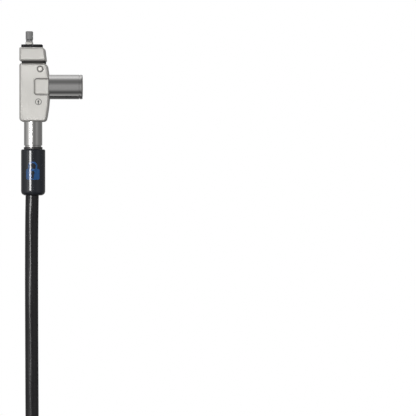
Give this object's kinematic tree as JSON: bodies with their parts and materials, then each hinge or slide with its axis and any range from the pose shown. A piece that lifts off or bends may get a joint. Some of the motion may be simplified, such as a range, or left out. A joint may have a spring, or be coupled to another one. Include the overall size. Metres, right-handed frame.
{
  "type": "laptop cable lock",
  "caption": "Keyed laptop cable lock: T-bar head for a security slot, push-in barrel lock, swivelling steel cable with a looped end.",
  "frame": {"origin": "centre of the T-bar's axis on the outer face of the rubber pad, where the lock meets the laptop", "axes": "+Z out of the head along the T-bar, +X along the barrel towards the keyway, -Y is the front face with the square insert"},
  "size_m": [0.0816, 0.0884, 0.2064],
  "materials": {
    "satin_nickel": "satin nickel plate over zinc casting, faint vertical grain",
    "pad_rubber": "matt black rubber",
    "gasket_rubber": "matt black rubber",
    "hardened_steel": "dark hardened steel, satin",
    "pin_steel": "ground steel",
    "dark_chrome": "dark polished chrome",
    "polished_steel": "polished",
    "crimp_metal": "darkened steel",
    "brass_works": "machined brass",
    "spring_steel": "drawn wire",
    "black_gloss": "glossy black moulding",
    "cable_vinyl": "satin black vinyl sheath",
    "wire_rope": "stranded steel",
    "tie_fabric": "black hook and loop strap"
  },
  "bodies": {
    "housing": {"head_collar": "satin_nickel", "rubber_pad": "pad_rubber", "collar_gasket": "gasket_rubber", "lock_body": "satin_nickel", "rear_cover": "satin_nickel", "cover_screws": "pin_steel", "side_insert": "satin_nickel", "cross_pin": "pin_steel", "spindle_bush": "brass_works", "spindle_washer": "spring_steel", "swivel_washer": "spring_steel", "swivel_clip": "spring_steel", "return_spring": "spring_steel"},
    "spindle": {"t_bar": "hardened_steel", "spindle_pinion": "hardened_steel", "spindle_clip": "spring_steel"},
    "barrel": {"barrel_shell": "dark_chrome", "barrel_rim": "dark_chrome", "barrel_end_plate": "dark_chrome", "rack_slider": "hardened_steel", "slider_screws": "pin_steel", "latch_spring": "spring_steel"},
    "key_plug": {"lock_plug": "brass_works", "wafer_tumblers": "brass_works", "tumbler_springs": "spring_steel", "lock_cam": "hardened_steel", "cam_screw": "pin_steel"},
    "latch": {"latch_pin": "hardened_steel"},
    "swivel": {"swivel_tube": "polished_steel", "tube_o_ring": "gasket_rubber", "crimp_ring": "crimp_metal", "cable_sleeve": "black_gloss", "wire_rope_end": "wire_rope", "cable_run": "cable_vinyl", "cable_coil": "cable_vinyl", "cable_tie": "tie_fabric", "loop_ferrule": "crimp_metal"}
  },
  "joints": [
    {"name": "barrel_push", "type": "slide", "parent": "housing", "child": "barrel", "axis": [-1, 0, 0], "range_m": [0, 0.00251], "stiffness_N_per_m": 600, "springref_m": -0.001, "deforming": ["return_spring"]},
    {"name": "t_bar_turn", "type": "hinge", "parent": "housing", "child": "spindle", "pos_m": [0, 0, 0], "axis": [0, 0, 1], "range_deg": [0, 90]},
    {"name": "key_turn", "type": "hinge", "parent": "barrel", "child": "key_plug", "pos_m": [0.015, 0, -0.01785], "axis": [1, 0, 0], "range_deg": [0, 90]},
    {"name": "latch_slide", "type": "slide", "parent": "barrel", "child": "latch", "axis": [0, 0, 1], "range_m": [0, 0.0005969], "deforming": ["latch_spring"]},
    {"name": "cable_swivel", "type": "hinge", "parent": "housing", "child": "swivel", "pos_m": [0.0016, 0, -0.03], "axis": [0, 0, 1], "continuous": true}
  ],
  "couplings": [
    {"joint": "t_bar_turn", "follows": "barrel_push", "rad_per_m": 625},
    {"joint": "key_turn", "follows": "latch_slide", "rad_per_m": 2631.6}
  ]
}
